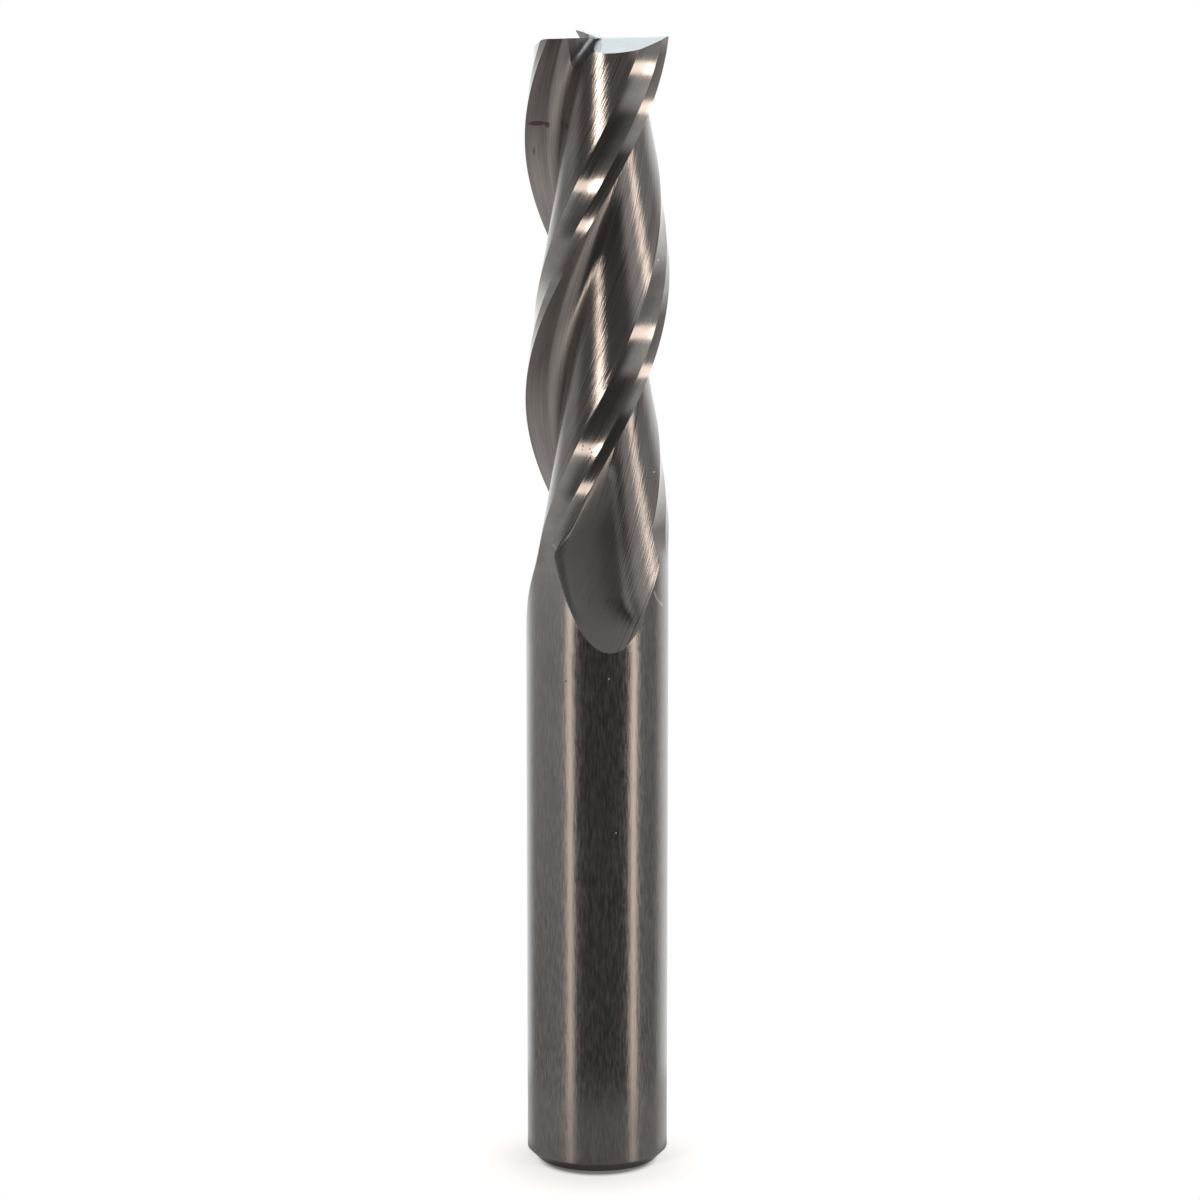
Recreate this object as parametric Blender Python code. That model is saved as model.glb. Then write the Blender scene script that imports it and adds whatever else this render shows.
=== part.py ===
"""Three-flute up-cut spiral router bit of ground solid carbide, in one piece, standing on its shank end."""

import math

import bmesh
import bpy
import numpy as np

# Whole tool, in metres and degrees
DIAMETER = 0.009525
LENGTH = 0.0762
SHANK_CHAMFER = 0.00065
HELIX_ANGLE = 30.0
TEETH = 3
TOP_PHASE = -12.2

# Section of one tooth, measured back from its cutting edge
PRIMARY_WIDTH = 0.00084
PRIMARY_RELIEF = 17.0
SECONDARY_WIDTH = 0.00172
SECONDARY_RELIEF = 34.5
BACK_ANGLE = 88.0
BACK_RADIUS = 0.00272
CORE_DIAMETER = 0.0050
CORE_ANGLE = 16.0
RAKE_ANGLE = 6.0
RAKE_LENGTH = 0.0014
RAKE_LEAST = 0.00006

# Run-out of the flutes into the shank
CUT_LENGTH = 0.0334
RUNOUT_LENGTH = 0.0069
RUNOUT_TURN = 45.0
RUNOUT_SLOPE = 16.4
WHEEL_RADIUS = 0.060
RAMP_FILLET = 0.00025
FILLET_RUN = 0.0010
RAMP_FADE = 0.0015
FLUTE_FADE = 0.0058
RELIEF_DROP = 0.0018
RELIEF_FADE = 0.0030
SHOULDER = 0.0054
SHOULDER_FADE = 0.0022

# End teeth
END_DISH = 2.0
END_PRIMARY_WIDTH = 0.00055
END_PRIMARY_RELIEF = 6.0
END_SECONDARY_RELIEF = 17.0
GASH_DEPTH = 0.0001
GASH_SLOPE = 38.0
GASH_RADIUS = 0.00045
GASH_LEAN = 60.0
GASH_REACH = 0.0033
GASH_INSET = 0.00004
CENTRE_OVERLAP = 0.00012
SECTOR_OVERLAP = 6.0

# How finely the surfaces are divided
PRIMARY_STEPS = 5
SECONDARY_STEPS = 10
BACK_STEPS = 7
FLUTE_STEPS = 10
RUNOUT_RINGS = 18
FADE_RINGS = 14
FLUTED_RINGS = 28
GASH_STEPS = 8
RINGS_CLOSER = 1.6
SHARP_FROM = 18.0

RADIUS = DIAMETER / 2
LEAD = math.pi * DIAMETER / math.tan(math.radians(HELIX_ANGLE))
PITCH = 360.0 / TEETH
LAND_STEPS = PRIMARY_STEPS + SECONDARY_STEPS
LAND_END = LENGTH - CUT_LENGTH
TIP = LAND_END - RUNOUT_LENGTH
FLUTED_FROM = LAND_END + FLUTE_FADE
END_STOCK = 0.25 * RADIUS
CUTTER_REACH = 1.6 * RADIUS


def polar(radius, degrees):
    angle = np.radians(degrees)
    return np.stack([radius * np.cos(angle), radius * np.sin(angle)], -1)


def angle_of(points):
    return np.degrees(np.arctan2(points[..., 1], points[..., 0]))


def between(start, end, share):
    return start + (end - start) * np.asarray(share)[:, None]


def curve_between(start, start_pull, end, end_pull, steps):
    """Cubic curve that leaves start along start_pull and arrives at end along end_pull."""
    t = np.linspace(0.0, 1.0, steps + 1)[:, None]
    return (
        (2 * t**3 - 3 * t**2 + 1) * start
        + (t**3 - 2 * t**2 + t) * start_pull
        + (3 * t**2 - 2 * t**3) * end
        + (t**3 - t**2) * end_pull
    )


def land_points():
    """Two flat relief facets behind the cutting edge, from the edge to the heel."""
    edge = np.array([RADIUS, 0.0])
    first = math.radians(PRIMARY_RELIEF)
    second = math.radians(SECONDARY_RELIEF)
    corner = edge - PRIMARY_WIDTH * np.array([math.sin(first), math.cos(first)])
    heel = corner - SECONDARY_WIDTH * np.array([math.sin(second), math.cos(second)])
    primary = between(edge, corner, np.linspace(0, 1, PRIMARY_STEPS + 1))
    secondary = between(corner, heel, np.linspace(0, 1, SECONDARY_STEPS + 1))
    return np.concatenate([primary, secondary[1:]])


def back_lean(heel):
    """The back comes in by a constant share per degree, so it leans by one angle all the way."""
    turned = math.radians(BACK_ANGLE + angle_of(heel))
    return math.atan(math.log(np.hypot(*heel) / BACK_RADIUS) / turned)


def back_points(heel_radius, heel_angle):
    share = np.linspace(0, 1, BACK_STEPS + 1)
    radii = heel_radius * (BACK_RADIUS / heel_radius) ** share
    return polar(radii, heel_angle + (-BACK_ANGLE - heel_angle) * share)


def flute_points(lean, rake_length):
    """From the end of the back round the core and up the hooked rake face to the next cutting edge."""
    start = polar(BACK_RADIUS, -BACK_ANGLE)
    core_at = CORE_ANGLE - PITCH
    core = polar(CORE_DIAMETER / 2, core_at)
    edge = polar(RADIUS, -PITCH)
    inward = polar(1.0, -PITCH + RAKE_ANGLE) * -1
    rake_end = edge + rake_length * inward
    along = polar(1.0, core_at - 90.0)
    leaving = polar(1.0, -BACK_ANGLE - 90.0 - math.degrees(lean))
    half = FLUTE_STEPS // 2 - 1
    fall = np.linalg.norm(core - start)
    rise = np.linalg.norm(core - rake_end)
    down = curve_between(start, leaving * fall, core, along * fall, half)
    up = curve_between(core, along * rise, rake_end, -inward * rise, FLUTE_STEPS - half - 2)
    middle_of_rake = (rake_end + edge) / 2
    return np.concatenate([down[1:], up[1:], [middle_of_rake, edge]])


def helix_angle_at(z):
    return TOP_PHASE - (LENGTH - z) * 360.0 / LEAD


def runout_depth(z):
    """Depth of the ramp that the flat rim of the wheel leaves as it comes out of the shank."""
    rise = min(max(z, TIP), FLUTED_FROM) - TIP
    return rise * math.tan(math.radians(RUNOUT_SLOPE)) - rise**2 / (2 * WHEEL_RADIUS)


def smooth_step(value, start, end):
    share = min(max((value - start) / (end - start), 0.0), 1.0)
    return share * share * (3 - 2 * share)


def arc_lengths(points):
    return np.concatenate([[0.0], np.cumsum(np.hypot(*np.diff(points, axis=0).T))])


def crest_length(heel_radius, heel_angle, lean, ahead_angle):
    """Length along the back from its heel to where it stands highest towards the wheel."""
    crest_angle = min(max(ahead_angle + math.degrees(lean), -BACK_ANGLE), heel_angle)
    crest_radius = heel_radius * math.exp(math.tan(lean) * math.radians(crest_angle - heel_angle))
    return (heel_radius - crest_radius) / math.sin(lean)


def relieved_land(z, land, lean):
    """Radii of the land as its relief fades, and the angle at which its heel then meets the back."""
    relief = smooth_step(z, LAND_END - RELIEF_DROP, LAND_END - RELIEF_DROP + RELIEF_FADE)
    heel_angle = angle_of(land[-1])
    share = angle_of(land) / heel_angle * relief + np.linspace(0, 1, len(land)) * (1 - relief)
    radii = RADIUS - (RADIUS - np.hypot(*land.T)) * relief
    heel_now = heel_angle + math.degrees(math.log(radii[-1] / np.hypot(*land[-1])) / math.tan(lean))
    return radii, share, heel_now


def above_ramp(z, ground, lengths, crest, ahead):
    """Lifts the flute to the wheel's ramp past the crest of the back, with a fillet at the rake face."""
    past = np.array([smooth_step(length, crest, crest + FILLET_RUN) for length in lengths])
    near = np.array([smooth_step(lengths[-1] - length, 0.0, FILLET_RUN) for length in lengths])
    short = RADIUS - runout_depth(z) - ground @ ahead
    lift = (short + np.hypot(short, RAMP_FILLET * past * near)) / 2
    held = 1 - smooth_step(z, FLUTED_FROM - RAMP_FADE, FLUTED_FROM)
    return ground + (np.where(lengths > crest, lift, 0.0) * held)[:, None] * ahead


def rake_down_to_ramp(z, edge_at, ahead_at):
    """The rake face ends on the ramp where the ramp is the higher of the two."""
    if z >= FLUTED_FROM:
        return RAKE_LENGTH
    facing = math.radians(ahead_at - edge_at)
    stands_over = RADIUS * math.cos(facing) - (RADIUS - runout_depth(z))
    falls = math.cos(facing - math.radians(RAKE_ANGLE))
    if stands_over <= 0:
        return RAKE_LEAST
    if stands_over >= falls * RAKE_LENGTH:
        return RAKE_LENGTH
    return max(stands_over / falls, RAKE_LEAST)


def ring_of(z, land):
    """One tooth's share of the section at height z, from its cutting edge back to the next one."""
    turn = helix_angle_at(z)
    middle = helix_angle_at(LAND_END) + RUNOUT_TURN
    half_width = math.degrees(math.acos(1 - runout_depth(z) / RADIUS))
    lean = back_lean(land[-1])
    radii, share, heel_now = relieved_land(z, land, lean)
    formed = smooth_step(z, LAND_END - SHOULDER, LAND_END - SHOULDER + SHOULDER_FADE)
    edge_turn = max(turn, middle - half_width) if z < FLUTED_FROM else turn
    heel_turn = (turn + heel_now) * formed + (middle - PITCH + half_width) * (1 - formed)
    land_now = polar(radii, edge_turn + (heel_turn - edge_turn) * share)

    next_edge = polar(RADIUS, edge_turn - PITCH)
    rake_length = rake_down_to_ramp(z, turn - PITCH, middle - PITCH)
    channel = np.concatenate([back_points(radii[-1], heel_now), flute_points(lean, rake_length)])
    lengths = arc_lengths(channel)
    along = lengths / lengths[-1]
    ground = polar(np.hypot(*channel.T), angle_of_channel(channel) + turn)
    ground = ground + (next_edge - ground[-1]) * along[:, None] ** 3
    crest = crest_length(radii[-1], heel_now, lean, middle - PITCH - turn)
    ground = above_ramp(z, ground, lengths, crest, polar(1.0, middle - PITCH))
    ramp = between(land_now[-1], next_edge, along)
    channel_now = ground * formed + ramp * (1 - formed)
    return np.concatenate([land_now, channel_now[1:-1]])


def angle_of_channel(channel):
    return np.degrees(np.unwrap(np.radians(angle_of(channel))))


def whole_ring(mesh, z, land, shrink=1.0):
    """The vertices of one section; at and below the tip of the run-outs the channels have no width."""
    points = ring_of(max(z, TIP), land) * shrink
    closed = z <= TIP
    ring = []
    for tooth in range(TEETH):
        turn = math.radians(-PITCH * tooth)
        cos, sin = math.cos(turn), math.sin(turn)
        count = LAND_STEPS if closed else len(points)
        verts = [mesh.verts.new((x * cos - y * sin, x * sin + y * cos, z)) for x, y in points[:count]]
        ring.append(verts)
    width = len(points)
    filled = []
    for tooth in range(TEETH):
        following = ring[(tooth + 1) % TEETH][0]
        filled += ring[tooth] + [following] * (width - len(ring[tooth]))
    return filled


def ring_heights():
    share = np.linspace(0, 1, RUNOUT_RINGS + 1)
    runout = TIP + RUNOUT_LENGTH * share**RINGS_CLOSER
    fade = np.linspace(LAND_END, FLUTED_FROM, FADE_RINGS + 1)
    fluted = np.linspace(FLUTED_FROM, LENGTH + END_STOCK, FLUTED_RINGS + 1)
    return np.concatenate([runout, fade[1:], fluted[1:]])


def join_rings(mesh, low, high):
    for at in range(len(low)):
        after = (at + 1) % len(low)
        corners = list(dict.fromkeys([low[at], low[after], high[after], high[at]]))
        if len(corners) > 2:
            mesh.faces.new(corners)


def new_object(name, mesh, collection):
    bmesh.ops.recalc_face_normals(mesh, faces=mesh.faces)
    data = bpy.data.meshes.new(name)
    mesh.to_mesh(data)
    mesh.free()
    made = bpy.data.objects.new(name, data)
    collection.objects.link(made)
    return made


def build_body(collection):
    """Shank, run-outs and flutes in one loft, as the section goes from round to three-toothed."""
    land = land_points()
    mesh = bmesh.new()
    foot = whole_ring(mesh, 0.0, land, 1 - SHANK_CHAMFER / RADIUS)
    rings = [foot, whole_ring(mesh, SHANK_CHAMFER, land)]
    rings += [whole_ring(mesh, z, land) for z in ring_heights()]
    for low, high in zip(rings, rings[1:]):
        join_rings(mesh, low, high)
    mesh.faces.new(list(dict.fromkeys(rings[0])))
    mesh.faces.new(rings[-1])
    body = new_object("router_bit", mesh, collection)
    body.data.shade_smooth()
    body.data.set_sharp_from_angle(angle=math.radians(SHARP_FROM))
    return body


def prism(mesh, outline, heights, top, bottoms):
    """Closed body with a level top: outline in plan, height under each corner, bottoms as corner lists."""
    low = [mesh.verts.new((x, y, z)) for (x, y), z in zip(outline, heights)]
    high = [mesh.verts.new((x, y, top)) for x, y in outline]
    for corners in bottoms:
        mesh.faces.new([low[at] for at in corners])
    mesh.faces.new(high)
    for at in range(len(low)):
        after = (at + 1) % len(low)
        mesh.faces.new([low[at], low[after], high[after], high[at]])


def end_relief_height(x, y):
    """Height of the end of a tooth whose end edge runs out along +X: a narrow facet, then a steeper one."""
    behind = min(y + END_PRIMARY_WIDTH, 0.0)
    near = max(y, -END_PRIMARY_WIDTH)
    return (
        LENGTH
        - (RADIUS - x) * math.tan(math.radians(END_DISH))
        + near * math.tan(math.radians(END_PRIMARY_RELIEF))
        + behind * math.tan(math.radians(END_SECONDARY_RELIEF))
    )


def build_end_cutter(collection):
    """What lies over one end tooth, from its edge back to the next edge."""
    step = END_PRIMARY_WIDTH
    last = math.radians(-PITCH)
    corner = (-step / math.tan(last), -step)
    past_middle = polar(CENTRE_OVERLAP, 180.0 + (SECTOR_OVERLAP - PITCH) / 2)
    outline = [tuple(past_middle), tuple(polar(CUTTER_REACH, SECTOR_OVERLAP)), (CUTTER_REACH, -step)]
    outline += [tuple(polar(CUTTER_REACH, degrees)) for degrees in np.linspace(0, -PITCH, 5)[1:]]
    outline.append(corner)
    heights = [end_relief_height(x, y) for x, y in outline]
    mesh = bmesh.new()
    bottoms = [(0, 1, 2, 7), (7, 2, 3, 4, 5, 6)]
    prism(mesh, outline, heights, LENGTH + 2 * END_STOCK, bottoms)
    return new_object("end_cutter", mesh, collection)


def build_gash_cutter(collection):
    """Groove that gives an end tooth its rake: one side upright, a round bottom, the other side leaning."""
    slope = math.radians(GASH_SLOPE)
    lean = math.radians(GASH_LEAN)
    reach = 3 * RADIUS
    arc = polar(GASH_RADIUS, np.linspace(180.0, 360.0 - GASH_LEAN, GASH_STEPS + 1))
    profile = [(GASH_RADIUS - GASH_INSET + x, GASH_RADIUS + y) for x, y in arc]
    right_x, right_y = profile[-1]
    profile.append((right_x + (reach - right_y) * math.tan(lean), reach))
    profile.append((-GASH_INSET, reach))
    mesh = bmesh.new()
    ends = []
    for run in (0.0, GASH_REACH):
        root = LENGTH - GASH_DEPTH - run * math.tan(slope)
        forward = [run + up * math.sin(slope) for _, up in profile]
        upward = [root + up * math.cos(slope) for _, up in profile]
        ends.append([mesh.verts.new(place) for place in zip(forward, [p[0] for p in profile], upward)])
    join_rings(mesh, *ends)
    for end in ends:
        mesh.faces.new(end)
    return new_object("gash_cutter", mesh, collection)


def cut_each_tooth(body, cutter, collection):
    """Repeats the cutter at each tooth and subtracts all of them from the body."""
    for tooth in range(TEETH):
        copy = cutter if tooth == 0 else bpy.data.objects.new(cutter.name, cutter.data)
        if tooth:
            collection.objects.link(copy)
        copy.rotation_euler.z = math.radians(TOP_PHASE + PITCH * tooth)
        copy.hide_render = True
        copy.display_type = "WIRE"
        cut = body.modifiers.new(f"{cutter.name}_{tooth}", "BOOLEAN")
        cut.operation = "DIFFERENCE"
        cut.solver = "EXACT"
        cut.object = copy


def carbide():
    material = bpy.data.materials.new("carbide")
    material.use_nodes = True
    shader = material.node_tree.nodes["Principled BSDF"]
    shader.inputs["Base Color"].default_value = (0.235, 0.215, 0.205, 1.0)
    shader.inputs["Metallic"].default_value = 1.0
    shader.inputs["Roughness"].default_value = 0.3
    return material


def new_collection(name):
    made = bpy.data.collections.new(name)
    bpy.context.scene.collection.children.link(made)
    return made


def main():
    for old in list(bpy.data.objects):
        bpy.data.objects.remove(old, do_unlink=True)
    part = new_collection("spiral_router_bit")
    cutters = new_collection("cutters")
    body = build_body(part)
    cut_each_tooth(body, build_end_cutter(cutters), cutters)
    cut_each_tooth(body, build_gash_cutter(cutters), cutters)
    body.data.materials.append(carbide())


main()
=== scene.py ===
import math

import bpy
import numpy as np
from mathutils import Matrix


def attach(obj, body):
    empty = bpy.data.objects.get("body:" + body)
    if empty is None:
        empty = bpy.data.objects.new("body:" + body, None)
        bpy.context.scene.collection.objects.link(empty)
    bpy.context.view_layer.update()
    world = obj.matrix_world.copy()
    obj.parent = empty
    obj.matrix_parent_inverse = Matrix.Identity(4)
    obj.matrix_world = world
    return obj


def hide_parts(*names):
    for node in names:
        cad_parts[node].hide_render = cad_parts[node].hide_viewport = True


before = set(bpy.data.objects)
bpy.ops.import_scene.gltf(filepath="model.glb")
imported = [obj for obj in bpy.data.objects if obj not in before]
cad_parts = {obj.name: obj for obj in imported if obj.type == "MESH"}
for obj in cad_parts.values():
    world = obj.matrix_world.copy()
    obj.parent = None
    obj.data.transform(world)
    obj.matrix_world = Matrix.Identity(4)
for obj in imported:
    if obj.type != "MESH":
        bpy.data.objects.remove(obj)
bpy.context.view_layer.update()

bpy.context.scene.view_settings.view_transform = "Standard"
print("frame loaded:", sorted(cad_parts))


# Camera: a long lens 0.3 m in front, a little above the tool, looking slightly down

shot = dict(
    distance=0.3002,
    height=0.0978,
    lookDown=11.16,
    focalLength=137.19,
    sensor=36.0,
    shiftRight=0.00225,
    nearest=0.01,
)


def makeCamera():
    # long lens, tilted down by lookDown and shifted a hair to frame the tool as the photo does
    data = bpy.data.cameras.new("shotCamera")
    data.sensor_fit = "HORIZONTAL"
    data.sensor_width = shot["sensor"]
    data.lens = shot["focalLength"]
    data.shift_x = shot["shiftRight"]
    data.clip_start = shot["nearest"]
    camera = bpy.data.objects.new("shotCamera", data)
    camera.location = (0.0, -shot["distance"], shot["height"])
    camera.rotation_euler = (math.radians(90 - shot["lookDown"]), 0.0, 0.0)
    bpy.context.scene.collection.objects.link(camera)
    bpy.context.scene.camera = camera


makeCamera()
print("camera ready")


# Small helpers for shader nodes

def addNode(tree, kind, inputs=None, **settings):
    # new node with its settings: an input is linked when it is a socket, and written otherwise
    node = tree.nodes.new(kind)
    for name, value in settings.items():
        setattr(node, name, value)
    for name, value in (inputs or {}).items():
        socket = node.inputs[name]
        if isinstance(value, bpy.types.NodeSocket):
            tree.links.new(value, socket)
        else:
            socket.default_value = value
    return node


def newMaterial(name):
    # material with an empty node tree
    material = bpy.data.materials.new(name)
    material.use_nodes = True
    material.node_tree.nodes.clear()
    return material, material.node_tree


def mathNode(tree, operation, first, second=0.0, third=0.0, clamp=False):
    # operation(first, second), and third too for a multiply and add
    inputs = {0: first, 1: second}
    if operation == "MULTIPLY_ADD":
        inputs[2] = third
    return addNode(tree, "ShaderNodeMath", inputs, operation=operation, use_clamp=clamp).outputs[0]


def rangeNode(tree, value, low, high, toLow, toHigh, smooth=True):
    # toLow where value is low, toHigh where it is high, and a smooth or a straight run between
    inputs = {"Value": value, "From Min": low, "From Max": high, "To Min": toLow, "To Max": toHigh}
    kind = "SMOOTHSTEP" if smooth else "LINEAR"
    return addNode(tree, "ShaderNodeMapRange", inputs, interpolation_type=kind).outputs["Result"]


def mixColour(tree, share, first, second):
    # first (1 - share) + second share
    inputs = {0: share, 6: first, 7: second}
    return addNode(tree, "ShaderNodeMix", inputs, data_type="RGBA").outputs[2]


# Studio: dim room in front, white paper behind and two tall strip lamps

# A Rise is two heights of the direction looked in, from -1 straight down to 1 straight up, between which one
# level gives way to the next. An Edge is the same for the cosine of the angle from an azimuth.
studio = dict(
    frontAzimuth=-84.0,          # where the dim part of the room is centred, seen from above
    frontEdge=(0.66, 0.54),
    frontLevel=0.085,
    upperFront=0.26,             # the front is a little lighter above than below
    frontRise=(0.1, 0.45),
    nearLamp=0.70,               # and lighter beside the right-hand lamp
    nearLampAzimuth=-46.0,
    nearLampEdge=(0.90, 0.99),
    nearLampRise=(-0.05, 0.10),
    sideEdge=(-0.2, 0.2),        # where right gives way to left
    rightSide=0.42,
    upperRight=0.60,
    rightRise=(0.0, 0.15),
    leftSide=0.76,
    upperLeft=0.55,
    leftRise=(-0.1, 0.12),
    darkLeft=0.18,               # the upper room beside the left-hand lamp
    darkLeftAzimuth=-158.0,
    darkLeftEdge=(0.88, 0.96),
    lowSides=0.30,               # both sides, where the metal looks down at the table
    lowSidesRise=(-0.30, -0.19),
    overheadLevel=0.10,
    overheadRise=(0.70, 0.88),
    belowLevel=1.1,
    belowRise=(-0.35, -0.6),
    backAzimuth=82.0,
    backEdge=(0.40, 0.88),
    backRise=(0.70, 0.84),
    backLevel=1.2,
    backTint=(0.97, 1.0, 1.01, 1.0),
    stripDistance=0.7,           # metres, as are the heights of the strips
    stripBottom=-0.35,
    stripKnee=-0.165,            # the lamps are dimmer below this height
    stripWaist=0.190,            # and brighter above this one
    stripTop=0.45,
    leftAzimuth=-134.5,
    leftWidth=10.0,              # degrees, as seen from the tool
    leftRadiance=2.6,
    rightAzimuth=-29.1,
    rightWidth=11.0,
    rightRadiance=2.7,
    lowerGain=0.62,
    leftUpperGain=4.2,
    rightUpperGain=1.6,
    stripColour=(1.0, 0.885, 0.79),
)


def makeStrip(side, bottom, top, gain):
    # upright rectangle that faces the tool
    away, azimuth = studio["stripDistance"], math.radians(studio[side + "Azimuth"])
    data = bpy.data.lights.new(side + "Strip", "AREA")
    data.shape = "RECTANGLE"
    data.size = 2 * away * math.tan(math.radians(studio[side + "Width"] / 2))
    data.size_y = top - bottom
    data.energy = gain * studio[side + "Radiance"] * math.pi * data.size * data.size_y
    data.color = studio["stripColour"]
    lamp = bpy.data.objects.new(side + "Strip", data)
    lamp.location = (away * math.cos(azimuth), away * math.sin(azimuth), (bottom + top) / 2)
    lamp.rotation_euler = (math.pi / 2, 0.0, azimuth + math.pi / 2)
    lamp.visible_camera = False
    bpy.context.scene.collection.objects.link(lamp)


def makeRoom():
    # level of the room by direction: dim in front and overhead, grey at the sides, white paper behind
    world = bpy.data.worlds.new("studioRoom")
    bpy.context.scene.world = world
    world.use_nodes = True
    tree = world.node_tree
    tree.nodes.clear()
    direction = addNode(tree, "ShaderNodeTexCoord").outputs["Generated"]
    height = addNode(tree, "ShaderNodeSeparateXYZ", {0: direction}).outputs["Z"]
    flat = addNode(tree, "ShaderNodeVectorMath", {0: direction, 1: (1, 1, 0)}, operation="MULTIPLY")
    flat = addNode(tree, "ShaderNodeVectorMath", {0: flat.outputs[0]}, operation="NORMALIZE").outputs[0]

    def facing(degrees):
        # cosine of the angle between the direction and an azimuth, seen from above
        aim = (math.cos(math.radians(degrees)), math.sin(math.radians(degrees)), 0.0)
        along = addNode(tree, "ShaderNodeVectorMath", {0: flat, 1: aim}, operation="DOT_PRODUCT")
        return along.outputs["Value"]

    def byHeight(name, below, above):
        # one level under the named heights, another over them
        return rangeNode(tree, height, *studio[name], below, above)

    def byAzimuth(name, degrees, away, towards):
        # one level away from an azimuth, another towards it, changing over the named edge
        return rangeNode(tree, facing(degrees), *studio[name], away, towards)

    upper = byAzimuth("darkLeftEdge", studio["darkLeftAzimuth"], studio["upperLeft"], studio["darkLeft"])
    left = byHeight("leftRise", studio["leftSide"], upper)
    right = byHeight("rightRise", studio["rightSide"], studio["upperRight"])
    sides = byAzimuth("sideEdge", 180.0, right, left)
    sides = byHeight("lowSidesRise", studio["lowSides"], sides)
    raised = byHeight("frontRise", studio["frontLevel"], studio["frontLevel"] + studio["upperFront"])
    beside = byAzimuth("nearLampEdge", studio["nearLampAzimuth"], 0.0, studio["nearLamp"])
    beside = mathNode(tree, "MULTIPLY", beside, byHeight("nearLampRise", 0.0, 1.0))
    front = mathNode(tree, "ADD", raised, beside)
    level = byAzimuth("frontEdge", studio["frontAzimuth"], front, sides)
    level = byHeight("overheadRise", level, studio["overheadLevel"])
    level = byHeight("belowRise", level, studio["belowLevel"])
    room = addNode(tree, "ShaderNodeBackground", {"Strength": level})
    path = addNode(tree, "ShaderNodeLightPath")
    seen = mathNode(tree, "ADD", path.outputs["Is Glossy Ray"], path.outputs["Is Transmission Ray"])
    strength = rangeNode(tree, path.outputs["Is Camera Ray"], 0.0, 1.0, studio["backLevel"], 1.0)
    tint = mixColour(tree, seen, (1, 1, 1, 1), studio["backTint"])
    paper = addNode(tree, "ShaderNodeBackground", {"Color": tint, "Strength": strength})
    behind = byAzimuth("backEdge", studio["backAzimuth"], 0.0, 1.0)
    behind = mathNode(tree, "MULTIPLY", behind, byHeight("backRise", 1.0, 0.0))
    share = mathNode(tree, "MAXIMUM", behind, path.outputs["Is Camera Ray"])
    mixed = addNode(tree, "ShaderNodeMixShader", {0: share, 1: room.outputs[0], 2: paper.outputs[0]})
    addNode(tree, "ShaderNodeOutputWorld", {"Surface": mixed.outputs[0]})


makeRoom()
for lampSide in ("left", "right"):
    makeStrip(lampSide, studio["stripBottom"], studio["stripKnee"], studio["lowerGain"])
    makeStrip(lampSide, studio["stripKnee"], studio["stripWaist"], 1.0)
    makeStrip(lampSide, studio["stripWaist"], studio["stripTop"], studio[lampSide + "UpperGain"])
print("studio lit")


# Table: a round of white paper whose edge fades into the white behind it, with a painted shadow round the
# foot

table = dict(
    radius=0.06,
    sides=96,
    fadeFrom=0.012,
    fadeTo=0.026,
    colour=(0.80, 0.78, 0.77, 1.0),
    glow=0.72,
    paintedShadowGlow=0.05,            # painted contact shadow: beside the foot the glow falls to this
    paintedShadowShift=0.0012,         # the painted shadow lies a little in front of the foot
    paintedShadowRadius=0.0034,
    paintedShadowClear=0.0042,
    paintedShadowColour=0.6,           # and there the paper colour is scaled down to this share, as painted shade
    paintedSoftShade=0.13,              # and a faint painted shade further out
    paintedShadeClear=0.0095,
    glowColour=(1.0, 0.98, 0.965, 1.0),
    inMetal=0.14,                # share of the glow that the metal mirrors
    clearInMetal=0.5,            # share of the room that the metal mirrors through the paper
    clearFrom=0.0060,            # away from the foot
    clearTo=0.0070,
)


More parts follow.
